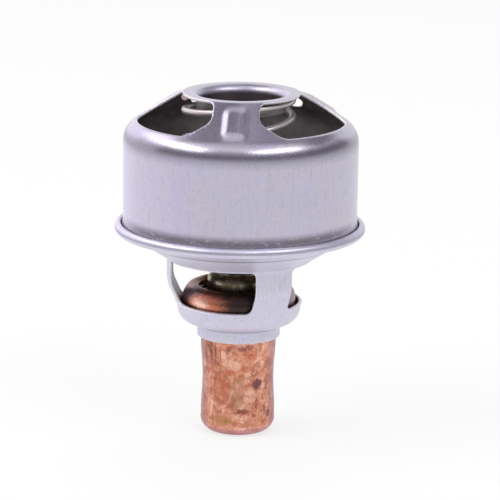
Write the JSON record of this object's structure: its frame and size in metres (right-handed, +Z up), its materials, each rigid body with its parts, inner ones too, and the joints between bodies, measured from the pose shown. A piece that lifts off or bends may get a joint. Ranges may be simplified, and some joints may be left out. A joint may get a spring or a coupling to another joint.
{
  "type": "engine thermostat",
  "caption": "Wax-element coolant thermostat: a windowed outlet cage with a return spring inside, a rolled rim, a three-armed lower frame and a copper bulb.",
  "frame": {"origin": "centre of the flat tip of the copper bulb", "axes": "+Z up the axis towards the outlet, -Y the side that faces the picture, +X its right"},
  "size_m": [0.043, 0.043, 0.0595],
  "materials": {
    "cage_steel": "satin stainless sheet",
    "frame_steel": "satin stainless sheet",
    "copper": "bare drawn copper, tarnished",
    "guide_brass": "turned brass, darkened",
    "washer_plastic": "moulded",
    "boot_rubber": "moulded rubber",
    "wax": "wax filled with copper powder",
    "piston_steel": "ground",
    "valve_steel": "satin stainless sheet",
    "hub_brass": "turned brass",
    "spring_steel": "drawn stainless wire"
  },
  "bodies": {
    "housing": {"outlet_cage": "cage_steel", "lower_frame": "frame_steel", "wax_cup": "copper", "piston_guide": "guide_brass", "backup_washer": "washer_plastic", "rubber_boot": "boot_rubber", "wax_charge": "wax", "return_spring": "spring_steel"},
    "valve": {"valve_disc": "valve_steel", "valve_hub": "hub_brass", "piston": "piston_steel"}
  },
  "joints": [
    {"name": "valve_lift", "type": "slide", "parent": "housing", "child": "valve", "axis": [0, 0, 1], "range_m": [0, 0.008], "stiffness_N_per_m": 750, "springref_m": -0.01, "deforming": ["return_spring"]}
  ]
}
